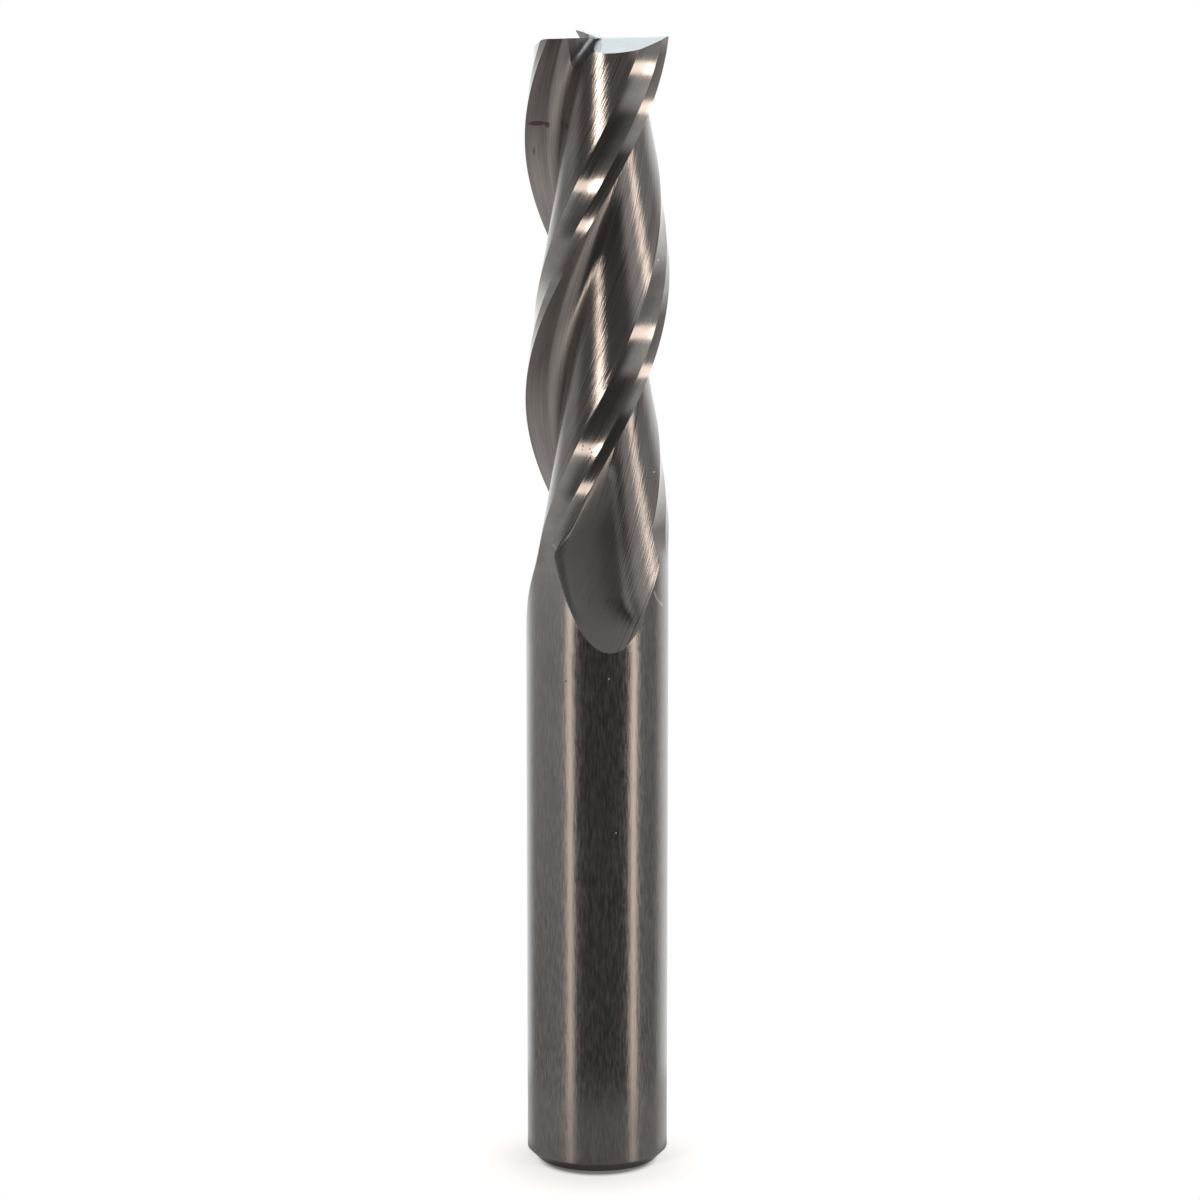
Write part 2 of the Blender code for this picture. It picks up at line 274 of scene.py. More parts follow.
def makeTable():
    # flat disc: x = r cos(a), y = r sin(a), z = 0, level with the foot
    sides = table["sides"]
    angles = np.linspace(0, 2 * math.pi, sides, endpoint=False)
    points = np.stack([np.cos(angles), np.sin(angles), np.zeros(sides)], 1) * table["radius"]
    mesh = bpy.data.meshes.new("table")
    mesh.from_pydata(points.tolist(), [], [list(range(sides))])
    floor = bpy.data.objects.new("table", mesh)
    bpy.context.scene.collection.objects.link(floor)
    material, tree = newMaterial("whitePaper")
    place = addNode(tree, "ShaderNodeTexCoord").outputs["Object"]
    away = addNode(tree, "ShaderNodeVectorMath", {0: place}, operation="LENGTH").outputs["Value"]
    fade = rangeNode(tree, away, table["fadeFrom"], table["fadeTo"], 0.0, 1.0)
    path = addNode(tree, "ShaderNodeLightPath")
    seen = mathNode(tree, "ADD", path.outputs["Is Glossy Ray"], path.outputs["Is Transmission Ray"])
    seen = mathNode(tree, "MULTIPLY_ADD", seen, table["inMetal"], path.outputs["Is Camera Ray"])
    share = rangeNode(tree, away, table["clearFrom"], table["clearTo"], 0.0, table["clearInMetal"])
    through = mathNode(tree, "MULTIPLY", path.outputs["Is Glossy Ray"], share)
    fade = mathNode(tree, "MAXIMUM", fade, through)
    # painted contact shadow: near the foot both the glow and the paper colour fall, by distance from a point
    # a little in front of it
    close = table["glow"] - table["paintedSoftShade"]
    shifted = {0: place, 1: (0.0, table["paintedShadowShift"], 0.0)}
    shifted = addNode(tree, "ShaderNodeVectorMath", shifted).outputs[0]
    beside = addNode(tree, "ShaderNodeVectorMath", {0: shifted}, operation="LENGTH").outputs["Value"]
    paintedShadowSpan = table["paintedShadowRadius"], table["paintedShadowClear"]
    near = rangeNode(tree, beside, *paintedShadowSpan, table["paintedShadowGlow"], close)
    further = rangeNode(tree, beside, table["paintedShadowClear"], table["paintedShadeClear"], 0.0, table["paintedSoftShade"])
    glow = mathNode(tree, "MULTIPLY", seen, mathNode(tree, "ADD", near, further))
    paintedShadowScale = rangeNode(tree, beside, *paintedShadowSpan, table["paintedShadowColour"], 1.0)
    paintedShadowPaper = {0: table["colour"][:3], "Scale": paintedShadowScale}
    paintedShadowPaper = addNode(tree, "ShaderNodeVectorMath", paintedShadowPaper, operation="SCALE").outputs[0]
    paper = addNode(tree, "ShaderNodeBsdfDiffuse", {"Color": paintedShadowPaper})
    light = addNode(tree, "ShaderNodeEmission", {"Color": table["glowColour"], "Strength": glow})
    both = addNode(tree, "ShaderNodeAddShader", {0: paper.outputs[0], 1: light.outputs[0]})
    empty = addNode(tree, "ShaderNodeBsdfTransparent")
    mixed = addNode(tree, "ShaderNodeMixShader", {0: fade, 1: both.outputs[0], 2: empty.outputs[0]})
    addNode(tree, "ShaderNodeOutputMaterial", {"Surface": mixed.outputs[0]})
    mesh.materials.append(material)


makeTable()
print("table laid")


# Router bit: one ground rod, finer than the CAD solid and of the same form

bit = dict(
    diameter=0.009525,
    length=0.0762,
    shankChamfer=0.00065,
    helixAngle=30.0,
    teeth=3,
    topPhase=-12.2,
    primaryWidth=0.00084,
    primaryRelief=17.0,
    secondaryWidth=0.00172,
    secondaryRelief=34.5,
    backAngle=88.0,
    backRadius=0.00272,
    coreDiameter=0.0050,
    coreAngle=16.0,
    rakeAngle=6.0,
    rakeLength=0.0014,
    rakeLeast=0.00006,
    rakeFallLeast=0.1,           # keeps the rake's length finite where it runs along the ramp
    cutLength=0.0334,
    runoutLength=0.0069,
    runoutTurn=45.0,
    runoutSlope=16.4,
    wheelRadius=0.060,
    fluteFade=0.0058,
    rampFillet=0.00025,
    filletRun=0.0010,
    rampFade=0.0015,
    reliefDrop=0.0018,
    reliefFade=0.0030,
    shoulder=0.0054,
    shoulderFade=0.0022,
    endDish=2.0,
    endPrimaryWidth=0.00055,
    endPrimaryRelief=6.0,
    endSecondaryRelief=17.0,
    gashDepth=0.0001,
    gashSlope=38.0,
    gashRadius=0.00045,
    gashLean=60.0,
    gashReach=0.0033,
    gashInset=0.00004,
    gashHeadroom=3.0,            # height of the gash cutter over the end, in radii
    gashSteps=25,
    middleOverlap=0.00012,
    sectorOverlap=6.0,
    endStock=0.25,               # rod left over the end for the cutters, in radii
    cutterReach=1.6,             # reach of the end cutters, in radii
    rimShares=(0.3, 0.55, 0.8, 1.0),         # where their rims have corners, in shares of the pitch
    sharpFrom=9.0,
)
columns = dict(primary=8, secondary=20, back=24, fall=14, rise=18, rake=6)
rings = dict(shank=6, runout=78, fade=78, fluted=220)
crowding = 1.7                   # the run-out's rings stand closer towards its tip
pastHook = 10.0                  # mm of the lines' reading a degree past the hook, for each metre of radius

radius = bit["diameter"] / 2
pitch = 360.0 / bit["teeth"]
lead = math.pi * bit["diameter"] / math.tan(math.radians(bit["helixAngle"]))
landEnd = bit["length"] - bit["cutLength"]
tongueTip = landEnd - bit["runoutLength"]
flutedFrom = landEnd + bit["fluteFade"]
endStock = bit["endStock"] * radius
cutterReach = bit["cutterReach"] * radius


def polar(away, degrees):
    # x = r cos(a), y = r sin(a)
    angle = np.radians(degrees)
    return np.stack([away * np.cos(angle), away * np.sin(angle)], -1)


def angleOf(points):
    # angle round the axis in degrees, carried on past half a turn
    return np.degrees(np.unwrap(np.arctan2(points[..., 1], points[..., 0])))


def easeBetween(value, start, end):
    # 3 s^2 - 2 s^3, where s runs from 0 at start to 1 at end
    share = np.clip((value - start) / (end - start), 0.0, 1.0)
    return share * share * (3 - 2 * share)


def cubicCurve(start, leaving, end, arriving, steps):
    # Hermite cubic: leaves start along one direction and arrives at end along another
    t = np.linspace(0.0, 1.0, steps + 1)[:, None]
    atStart, atEnd = 2 * t**3 - 3 * t**2 + 1, 3 * t**2 - 2 * t**3
    return atStart * start + (t**3 - 2 * t**2 + t) * leaving + atEnd * end + (t**3 - t**2) * arriving


def landSection():
    # two straight facets: point = edge - width (sin relief, cos relief), one after the other
    edge = np.array([radius, 0.0])
    first, second = math.radians(bit["primaryRelief"]), math.radians(bit["secondaryRelief"])
    corner = edge - bit["primaryWidth"] * np.array([math.sin(first), math.cos(first)])
    heel = corner - bit["secondaryWidth"] * np.array([math.sin(second), math.cos(second)])
    primary = edge + (corner - edge) * np.linspace(0, 1, columns["primary"] + 1)[:, None]
    secondary = corner + (heel - corner) * np.linspace(0, 1, columns["secondary"] + 1)[:, None]
    return np.concatenate([primary, secondary[1:]])


def backLean(heel):
    # the back shrinks by a constant share per degree, so it leans by one angle:
    # tan lean = log(r0 / r1) / turn
    turned = math.radians(bit["backAngle"]) + math.atan2(heel[1], heel[0])
    return math.atan(math.log(math.hypot(*heel) / bit["backRadius"]) / turned)


def backSection(heelRadius, heelAngle):
    # radius shrinks from the heel by a constant share per degree
    share = np.linspace(0, 1, columns["back"] + 1)
    radii = heelRadius[:, None] * (bit["backRadius"] / heelRadius[:, None]) ** share
    return polar(radii, heelAngle[:, None] + (-bit["backAngle"] - heelAngle)[:, None] * share)


def fluteSection(lean, rakeLength):
    # for each ring: two cubics by way of the core, then the straight hooked rake up to the next edge
    start = polar(bit["backRadius"], -bit["backAngle"])
    coreAt = bit["coreAngle"] - pitch
    core = polar(bit["coreDiameter"] / 2, coreAt)
    edge = polar(radius, -pitch)
    inward = -polar(1.0, -pitch + bit["rakeAngle"])
    rakeEnd = edge + rakeLength[:, None, None] * inward
    along = polar(1.0, coreAt - 90.0)
    leaving = polar(1.0, -bit["backAngle"] - 90.0 - math.degrees(lean))
    fall, rise = np.linalg.norm(core - start), np.linalg.norm(core - rakeEnd, axis=2, keepdims=True)
    down = cubicCurve(start, leaving * fall, core, along * fall, columns["fall"])
    down = np.broadcast_to(down, (len(rakeLength), columns["fall"] + 1, 2))
    up = cubicCurve(core, along * rise, rakeEnd, -inward * rise, columns["rise"])
    rake = rakeEnd + (edge - rakeEnd) * np.linspace(0, 1, columns["rake"] + 1)[:, None]
    return np.concatenate([down[:, 1:], up[:, 1:], rake[:, 1:]], axis=1)


def rakeDownToRamp(z, edgeAt, aheadAt):
    # length of the rake face: as far as the ramp where the ramp is the higher of the two
    facing = np.radians(aheadAt - edgeAt)
    standsOver = radius * np.cos(facing) - (radius - rampDepth(z))
    falls = np.maximum(np.cos(facing - math.radians(bit["rakeAngle"])), bit["rakeFallLeast"])
    ends = np.clip(standsOver / falls, bit["rakeLeast"], bit["rakeLength"])
    return np.where(z < flutedFrom, ends, bit["rakeLength"])


def helixTurn(z):
    # angle of the first cutting edge: one turn back for each lead below the end
    return bit["topPhase"] - (bit["length"] - z) * 360.0 / lead


def rampDepth(z):
    # how deep the wheel stands in the rod: rise tan(slope) - rise^2 / (2 wheel radius)
    rise = np.clip(z, tongueTip, flutedFrom) - tongueTip
    return rise * math.tan(math.radians(bit["runoutSlope"])) - rise**2 / (2 * bit["wheelRadius"])


def crestLength(heelRadius, heelAt, lean, aheadAt):
    # length of the back from its heel to where it stands highest: (r0 - r) / sin lean
    crestAt = np.clip(aheadAt + math.degrees(lean), -bit["backAngle"], heelAt)
    return heelRadius * (1 - np.exp(math.tan(lean) * np.radians(crestAt - heelAt))) / math.sin(lean)


def toothRings(z, land):
    # point(z, column): a tooth's section turned by the helix, and no deeper than the flat ramp of the wheel
    turn = helixTurn(z)
    middle = helixTurn(landEnd) + bit["runoutTurn"]
    floor = radius - rampDepth(z)
    halfWidth = np.degrees(np.arccos(floor / radius))
    lean, heelAngle = backLean(land[-1]), angleOf(land)[-1]
    reliefFrom, shoulderFrom = landEnd - bit["reliefDrop"], landEnd - bit["shoulder"]
    relief = easeBetween(z, reliefFrom, reliefFrom + bit["reliefFade"])[:, None]
    radii = radius - (radius - np.hypot(*land.T)) * relief
    heelAt = heelAngle + np.degrees(np.log(radii[:, -1] / np.hypot(*land[-1])) / math.tan(lean))
    formed = easeBetween(z, shoulderFrom, shoulderFrom + bit["shoulderFade"])
    heelTurn = (turn + heelAt) * formed + (middle - pitch + halfWidth) * (1 - formed)
    edgeTurn = np.where(z < flutedFrom, np.maximum(turn, middle - halfWidth), turn)
    even = np.linspace(0, 1, len(land))
    share = angleOf(land) / heelAngle * relief + even * (1 - relief)
    landNow = polar(radii, edgeTurn[:, None] + (heelTurn - edgeTurn)[:, None] * share)

    heel, nextEdge = landNow[:, -1:], polar(radius, edgeTurn - pitch)[:, None]
    rakeLength = rakeDownToRamp(z, turn - pitch, middle - pitch)
    channel = np.concatenate([backSection(radii[:, -1], heelAt), fluteSection(lean, rakeLength)], axis=1)
    lengths = np.cumsum(np.linalg.norm(np.diff(channel, axis=1), axis=2), axis=1)
    lengths = np.concatenate([np.zeros((len(z), 1)), lengths], axis=1)
    along = (lengths / lengths[:, -1:])[..., None]
    ground = polar(np.linalg.norm(channel, axis=2), angleOf(channel) + turn[:, None])
    ground = ground + (nextEdge - ground[:, -1:]) * along**3
    ahead = polar(1.0, middle - pitch)
    crest = crestLength(radii[:, -1], heelAt, lean, middle - pitch - turn)[:, None]
    near = easeBetween(lengths[:, -1:] - lengths, 0.0, bit["filletRun"])
    fillet = bit["rampFillet"] * easeBetween(lengths, crest, crest + bit["filletRun"]) * near
    short = floor[:, None] - ground @ ahead
    lift = np.where(lengths > crest, (short + np.hypot(short, fillet)) / 2, 0.0)
    held = 1 - easeBetween(z, flutedFrom - bit["rampFade"], flutedFrom)[:, None]
    ground = ground + (lift * held)[..., None] * ahead
    ramp = heel * (1 - along) + nextEdge * along
    channelNow = ground * formed[:, None, None] + ramp * (1 - formed[:, None, None])
    return np.concatenate([landNow, channelNow[:, 1:-1]], axis=1)


def ringHeights():
    # even steps in each stretch, but for the run-out: height above its tip = length share^crowding
    shank = np.linspace(bit["shankChamfer"], tongueTip, rings["shank"] + 1)
    runout = tongueTip + bit["runoutLength"] * np.linspace(0, 1, rings["runout"] + 1) ** crowding
    fade = np.linspace(landEnd, flutedFrom, rings["fade"] + 1)
    fluted = np.linspace(flutedFrom, bit["length"] + endStock, rings["fluted"] + 1)
    return np.concatenate([[0.0], shank, runout[1:], fade[1:], fluted[1:]])


def grindLines(third, z):
    # which grinding line each point lies on, in mm round the top section from the cutting edge. In the
    # run-outs the back reads it by the angle behind the edge, so that the lines keep to the helix there
    # too, and past the hook of the rake the reading runs on evenly to half a turn
    spin = np.radians(-pitch)
    following = third[:, :1] @ np.array([[np.cos(spin), np.sin(spin)], [-np.sin(spin), np.cos(spin)]])
    closed = np.concatenate([third, following], axis=1)
    around = np.unwrap(np.degrees(np.arctan2(closed[..., 1], closed[..., 0])), axis=1, period=360)
    behind = around - around[:, :1] + (around[:, :1] - helixTurn(z)[:, None] + 180) % 360 - 180
    steps = np.linalg.norm(np.diff(closed[-1], axis=0), axis=1)
    across = np.concatenate([[0.0], np.cumsum(steps)]) * 1000
    hook = behind[-1].argmin()
    angles = np.append(-behind[-1, :hook], 180.0)
    last = across[hook - 1] + (180.0 + behind[-1, hook - 1]) * radius * pastHook
    reading = np.append(across[:hook], last)
    byAngle = np.interp(-behind, angles, reading)
    low = (z[:, None] < flutedFrom) & (np.arange(closed.shape[1]) < hook)
    return np.where(low, byAngle, across)


def bitSurface():
    # grid of rings and columns; under the tongue tips the channel columns close up on the next edge
    land = landSection()
    z = ringHeights()
    third = toothRings(np.maximum(z, tongueTip), land)
    third[0] *= 1 - bit["shankChamfer"] / radius
    width = third.shape[1]
    around = []
    for tooth in range(bit["teeth"]):
        turn = math.radians(-pitch * tooth)
        spin = np.array([[math.cos(turn), math.sin(turn)], [-math.sin(turn), math.cos(turn)]])
        around.append(third @ spin)
    flat = np.concatenate(around, axis=1)
    count = flat.shape[1]
    points = np.concatenate([flat, np.broadcast_to(z[:, None, None], (len(z), count, 1))], axis=2)

    column = np.arange(count)
    inLand = column % width < len(land) - 1
    followingEdge = (column // width + 1) * width % count
    home = np.arange(len(z) * count).reshape(len(z), count)
    closed = z <= tongueTip
    home[closed] = np.where(inLand, home[closed], home[closed][:, followingEdge])
    after = np.roll(home, -1, axis=1)
    corners = np.stack([home[:-1], after[:-1], after[1:], home[1:]], axis=2).reshape(-1, 4)

    lines = grindLines(third, z)
    u = lines[:, column % width]
    uNext = lines[:, column % width + 1]
    v = np.broadcast_to(z[:, None] * 1000, (len(z), count))
    uv = np.stack([u[:-1], v[:-1], uNext[:-1], v[:-1], uNext[1:], v[1:], u[1:], v[1:]], axis=2)
    uv = uv.reshape(-1, 4, 2)

    isRound = inLand[None, :] | (z[:-1, None] < tongueTip)
    zone = np.where(isRound, 0, 1).reshape(-1)
    return points.reshape(-1, 3), corners, uv, zone, home


def meshFrom(name, points, corners, uv, zone, caps):
    # quads whose corners have run together become triangles, and those with no area are left out
    same = corners == np.roll(corners, -1, axis=1)
    quads = same.sum(1) == 0
    wedges = same.sum(1) == 1
    keep = ~same[wedges]
    faces = corners[quads].tolist() + corners[wedges][keep].reshape(-1, 3).tolist() + caps
    faceUv = np.concatenate([uv[quads].reshape(-1, 2), uv[wedges][keep].reshape(-1, 2)])
    capCorners = sum(len(cap) for cap in caps)
    faceUv = np.concatenate([faceUv, np.zeros((capCorners, 2))])
    faceZone = np.concatenate([zone[quads], zone[wedges], np.zeros(len(caps), int)])
    used, packed = np.unique(np.concatenate([np.array(face) for face in faces]), return_inverse=True)
    sizes = np.array([len(face) for face in faces])
    starts = np.concatenate([[0], np.cumsum(sizes)[:-1]])
    mesh = bpy.data.meshes.new(name)
    mesh.vertices.add(len(used))
    mesh.vertices.foreach_set("co", points[used].ravel())
    mesh.loops.add(len(packed))
    mesh.loops.foreach_set("vertex_index", packed.astype(np.int32))
    mesh.polygons.add(len(sizes))
    mesh.polygons.foreach_set("loop_start", starts.astype(np.int32))
    mesh.polygons.foreach_set("material_index", faceZone.astype(np.int32))
    mesh.update(calc_edges=True)
    mesh.uv_layers.new(name="grind").data.foreach_set("uv", faceUv.ravel())
    mesh.validate()
    return mesh


def endHeight(x, y):
    # flat facets that fall towards the middle by the dish and behind the end edge by the two reliefs
    near = np.maximum(y, -bit["endPrimaryWidth"])
    behind = np.minimum(y + bit["endPrimaryWidth"], 0.0)
    return (
        bit["length"]
        - (radius - x) * math.tan(math.radians(bit["endDish"]))
        + near * math.tan(math.radians(bit["endPrimaryRelief"]))
        + behind * math.tan(math.radians(bit["endSecondaryRelief"]))
    )


def endCutterMesh():
    # prism over one end tooth: its lower side follows endHeight, its upper side is level
    step = bit["endPrimaryWidth"]
    corner = np.array([-step / math.tan(math.radians(-pitch)), -step])
    pastMiddle = polar(bit["middleOverlap"], 180.0 + (bit["sectorOverlap"] - pitch) / 2)
    rim = polar(cutterReach, -pitch * np.array(bit["rimShares"]))
    start = polar(cutterReach, bit["sectorOverlap"])
    outline = np.vstack([pastMiddle, start, (cutterReach, -step), rim, corner])
    count = len(outline)
    low = np.column_stack([outline, endHeight(*outline.T)])
    high = np.column_stack([outline, np.full(count, bit["length"] + 2 * endStock)])
    sides = [[at, (at + 1) % count, (at + 1) % count + count, at + count] for at in range(count)]
    primary, secondary, top = [2, 1, 0, 7], [6, 5, 4, 3, 2, 7], list(range(count, 2 * count))
    mesh = bpy.data.meshes.new("endCutter")
    mesh.from_pydata(np.vstack([low, high]).tolist(), [], [primary, secondary, top] + sides)
    return mesh


def gashCutterMesh():
    # groove with one upright side and one that leans, carried down and outwards from the axis under the end
    # edge: x = run + up sin(slope), z = end - depth - run tan(slope) + up cos(slope)
    slope, lean = math.radians(bit["gashSlope"]), math.radians(bit["gashLean"])
    reach = bit["gashHeadroom"] * radius
    arc = polar(bit["gashRadius"], np.linspace(180.0, 360.0 - bit["gashLean"], bit["gashSteps"]))
    arc += [bit["gashRadius"] - bit["gashInset"], bit["gashRadius"]]
    rightTop = arc[-1] + [(reach - arc[-1, 1]) * math.tan(lean), reach - arc[-1, 1]]
    profile = np.vstack([arc, rightTop, (-bit["gashInset"], reach)])
    run = np.array([0.0, bit["gashReach"]])[:, None]
    up = profile[None, :, 1]
    x = run + up * math.sin(slope)
    y = np.broadcast_to(profile[None, :, 0], x.shape)
    z = bit["length"] - bit["gashDepth"] - run * math.tan(slope) + up * math.cos(slope)
    count = len(profile)
    sides = [[at, (at + 1) % count, (at + 1) % count + count, at + count] for at in range(count)]
    mesh = bpy.data.meshes.new("gashCutter")
    ends = [list(range(count))[::-1], list(range(count, 2 * count))]
    mesh.from_pydata(np.stack([x, y, z], 2).reshape(-1, 3).tolist(), [], sides + ends)
    return mesh


def cutEnd(body, cutterMesh, material):
    # one Boolean cut for each tooth, turned by the pitch, that leaves the cutter's material on its faces
    cutterMesh.materials.append(material)
    cutters = []
    for tooth in range(bit["teeth"]):
        cutter = bpy.data.objects.new(cutterMesh.name, cutterMesh)
        cutter.rotation_euler.z = math.radians(bit["topPhase"] + pitch * tooth)
        bpy.context.scene.collection.objects.link(cutter)
        cut = body.modifiers.new("cut", "BOOLEAN")
        cut.operation = "DIFFERENCE"
        cut.solver = "EXACT"
        cut.material_mode = "TRANSFER"
        cut.object = cutter
        cutters.append(cutter)
    return cutters


def outwards(mesh):
    # faces point out when the volume under them, summed as triangles, is positive
    mesh.calc_loop_triangles()
    corners = np.zeros(len(mesh.loop_triangles) * 3, np.int32)
    mesh.loop_triangles.foreach_get("vertices", corners)
    points = np.zeros(len(mesh.vertices) * 3)
    mesh.vertices.foreach_get("co", points)
    a, b, c = np.moveaxis(points.reshape(-1, 3)[corners.reshape(-1, 3)], 1, 0)
    if np.einsum("ij,ij->i", a, np.cross(b, c)).sum() < 0:
        mesh.flip_normals()


def makeBit(materials):
    # the loft with its two ends closed, less the end cutters and the gash cutters
    points, corners, uv, zone, home = bitSurface()
    caps = [list(dict.fromkeys(home[0].tolist()))[::-1], home[-1].tolist()]
    mesh = meshFrom("routerBit", points, corners, uv, zone, caps)
    outwards(mesh)
    for material in materials[:2]:
        mesh.materials.append(material)
    body = bpy.data.objects.new("routerBit", mesh)
    bpy.context.scene.collection.objects.link(body)
    cutters = []
    for cutterMesh, material in ((endCutterMesh(), materials[2]), (gashCutterMesh(), materials[3])):
        outwards(cutterMesh)
        cutters += cutEnd(body, cutterMesh, material)
    bpy.context.view_layer.update()
    cutBody = body.evaluated_get(bpy.context.evaluated_depsgraph_get())
    finished = bpy.data.meshes.new_from_object(cutBody)
    body.modifiers.clear()
    body.data = finished
    finished.name = "routerBit"
    for cutter in cutters:
        bpy.data.objects.remove(cutter)
    finished.shade_smooth()
    finished.set_sharp_from_angle(angle=math.radians(bit["sharpFrom"]))
    return body


# Finishes: ground carbide, one for each way it was ground

# lineTone and lineDepth: share by which the grinding lines darken the metal, and their depth in micrometres
finish = dict(
    shank=dict(
        colour=(0.30, 0.275, 0.26), cool=(0.275, 0.26, 0.25), roughness=0.23, lineTone=0.16, lineDepth=3.5
    ),
    land=dict(
        colour=(0.36, 0.33, 0.31), cool=(0.31, 0.29, 0.275), roughness=0.15, lineTone=0.05, lineDepth=1.0
    ),
    channel=dict(
        colour=(0.33, 0.30, 0.28), cool=(0.27, 0.245, 0.235), roughness=0.165, lineTone=0.20, lineDepth=12.0
    ),
    # the end faces' paler colour is a painted reflection: it stands in for part of the bright light behind
    # and above that these upward faces mirror
    end=dict(
        colour=(0.63, 0.66, 0.67), cool=(0.58, 0.62, 0.64), roughness=0.22, lineTone=0.10, lineDepth=3.0
    ),
    gash=dict(
        colour=(0.42, 0.43, 0.44), cool=(0.36, 0.375, 0.39), roughness=0.30, lineTone=0.10, lineDepth=2.0
    ),
    landFrom=0.037,              # height over which the shank's finish gives way to the land's
    landTo=0.046,
    rakeRoughness=0.50,          # the core and the rake face are duller than the back
    rakeRoughnessLow=0.30,
    rakeDulls=(43.5, 48.0),      # heights in mm between which the low value gives way to the other
    rakeColourLow=(0.235, 0.225, 0.222, 1.0),
    rakeGreys=(43.5, 46.0),      # and between which the greyer metal of the run-out ends
    rakeRelief=0.12,             # share of the lines' depth that is left there
    rakeFrom=6.6,                # mm round the section from the cutting edge
    rakeFromLow=1.3,             # and at the tip of the run-out
    rakeLow=37.0,                # heights in mm between which it changes
    rakeHigh=48.3,
    rakeBlend=1.2,
    alongTool=(9.0, 9.0, 1.2),               # grinding lines per millimetre across and along
    cloudsAlongTool=(0.9, 0.9, 0.42),
    alongHelix=(11.0, 0.07, 1.0),
    cloudsAlongHelix=(1.6, 0.22, 1.0),
    cloudsOnLand=(0.8, 1.3, 1.0),
    scratches=(5.0, 0.045, 1.0),             # fewer and darker lines in the channels
    scratchTone=0.40,
    scratchColour=(0.06, 0.045, 0.04, 1.0),
    noiseDetail=4.0,
    lineSpan=(0.3, 0.7),                     # values of the noises between which each effect runs
    cloudSpan=(0.32, 0.68),
    scratchSpan=(0.60, 0.66),
    roughSpread=0.04,
    markEdge=(0.5, 1.1),                     # where a mark is full and where it has gone, in half sizes
    flatEdge=(0.88, 1.02),
    flatMiddle=(0.03, -1.75, 75.60),         # mm, beside the gash that is seen from the front
    flatSize=(0.30, 1.50, 0.50),
    flatColour=(0.42, 0.44, 0.465, 1.0),
    flatNormal=(-0.09, -0.28, 0.956),
    gashOuterFrom=1.6,                       # mm from the axis, where the gash only dresses the rake face
    gashOuterTo=2.2,
    gashOuterRoughness=0.55,
    gashOuterColour=(0.22, 0.20, 0.195, 1.0),
)

# Stains, pits and specks: zone, middle and half size in mm, colour, share, and 1 where it lies on the metal
stain, pit, dust = (0.10, 0.06, 0.055), (0.04, 0.035, 0.035), (0.8, 0.79, 0.77)
marks = [
    ("channel", (-3.95, -0.45, 70.48), (0.72, 0.9, 0.20), stain, 0.85, 0.0),
    ("channel", (-3.27, -0.30, 70.36), (0.20, 0.9, 0.22), stain, 0.85, 0.0),
    ("channel", (-4.16, 0.43, 68.57), (0.10, 0.9, 0.36), stain, 0.55, 0.0),
    ("land", (-0.937, -4.113, 49.679), (0.06, 0.2, 0.09), pit, 0.8, 0.0),
    ("land", (-0.99, -4.10, 49.45), (0.05, 0.2, 0.06), pit, 0.7, 0.0),
    ("land", (-0.50, -4.33, 49.52), (0.06, 0.2, 0.07), pit, 0.7, 0.0),
    ("land", (-0.37, -4.38, 49.30), (0.06, 0.2, 0.09), pit, 0.8, 0.0),
    ("land", (-0.46, -4.39, 48.95), (0.06, 0.2, 0.07), pit, 0.7, 0.0),
    ("land", (-0.84, -4.24, 48.90), (0.04, 0.2, 0.05), pit, 0.6, 0.0),
    ("shank", (-2.072, -4.276, 33.955), (0.07, 0.2, 0.09), pit, 0.9, 0.0),
    ("shank", (0.773, -4.692, 34.18), (0.07, 0.2, 0.06), dust, 0.8, 1.0),
    ("shank", (1.245, -4.585, 23.674), (0.05, 0.2, 0.06), dust, 0.8, 1.0),
    ("channel", (3.761, -0.933, 47.415), (0.12, 0.3, 0.06), dust, 0.8, 1.0),
    ("land", (3.984, -1.396, 61.599), (0.10, 0.3, 0.06), dust, 0.7, 1.0),
]

# Hairs, as strings of beads: zone, number of beads, half size in mm and share of a bead, points in mm
rightHair = [
    (3.789, -2.882, 39.685),
    (3.891, -2.744, 39.321),
    (4.095, -2.428, 38.954),
    (4.301, -2.045, 38.641),
]
leftHair = [(-2.92, -3.64, 42.99), (-2.69, -3.93, 42.78), (-2.50, -4.05, 42.60)]
hairs = [("shank", 11, 0.07, 0.45, rightHair), ("land", 6, 0.07, 0.35, leftHair)]
beadDepth, beadStretch = 0.2, 1.5


def strungAlong(points, count):
    # evenly spaced steps along the straight lines between the points
    points = np.array(points)
    at, steps = np.arange(len(points)), np.linspace(0, len(points) - 1, count)
    return np.stack([np.interp(steps, at, points[:, axis]) for axis in range(3)], 1).tolist()


for hairZone, beads, bead, hairShare, hairPoints in hairs:
    for beadMiddle in strungAlong(hairPoints, beads):
        beadSize = (bead, beadDepth, beadStretch * bead)
        marks.append((hairZone, tuple(beadMiddle), beadSize, dust, hairShare, 1.0))


def grinding(tree, zone, millimetres):
    # stretched noises: fine lines from the wheel, slow clouds of tone, and in the channels dark scratches
    where = millimetres
    scales = [finish["alongTool"], finish["cloudsAlongTool"]]
    if zone in ("land", "channel"):
        where = addNode(tree, "ShaderNodeUVMap", uv_map="grind").outputs["UV"]
        scales = [finish["alongHelix"], finish["cloudsOnLand"]]
    if zone == "channel":
        scales = [finish["alongHelix"], finish["cloudsAlongHelix"], finish["scratches"]]
    noises, detail = [], finish["noiseDetail"]
    for scale in scales:
        stretched = addNode(tree, "ShaderNodeMapping", {"Vector": where, "Scale": scale}).outputs[0]
        noise = addNode(tree, "ShaderNodeTexNoise", {"Vector": stretched, "Scale": 1.0, "Detail": detail})
        noises.append(noise.outputs[0])
    return noises


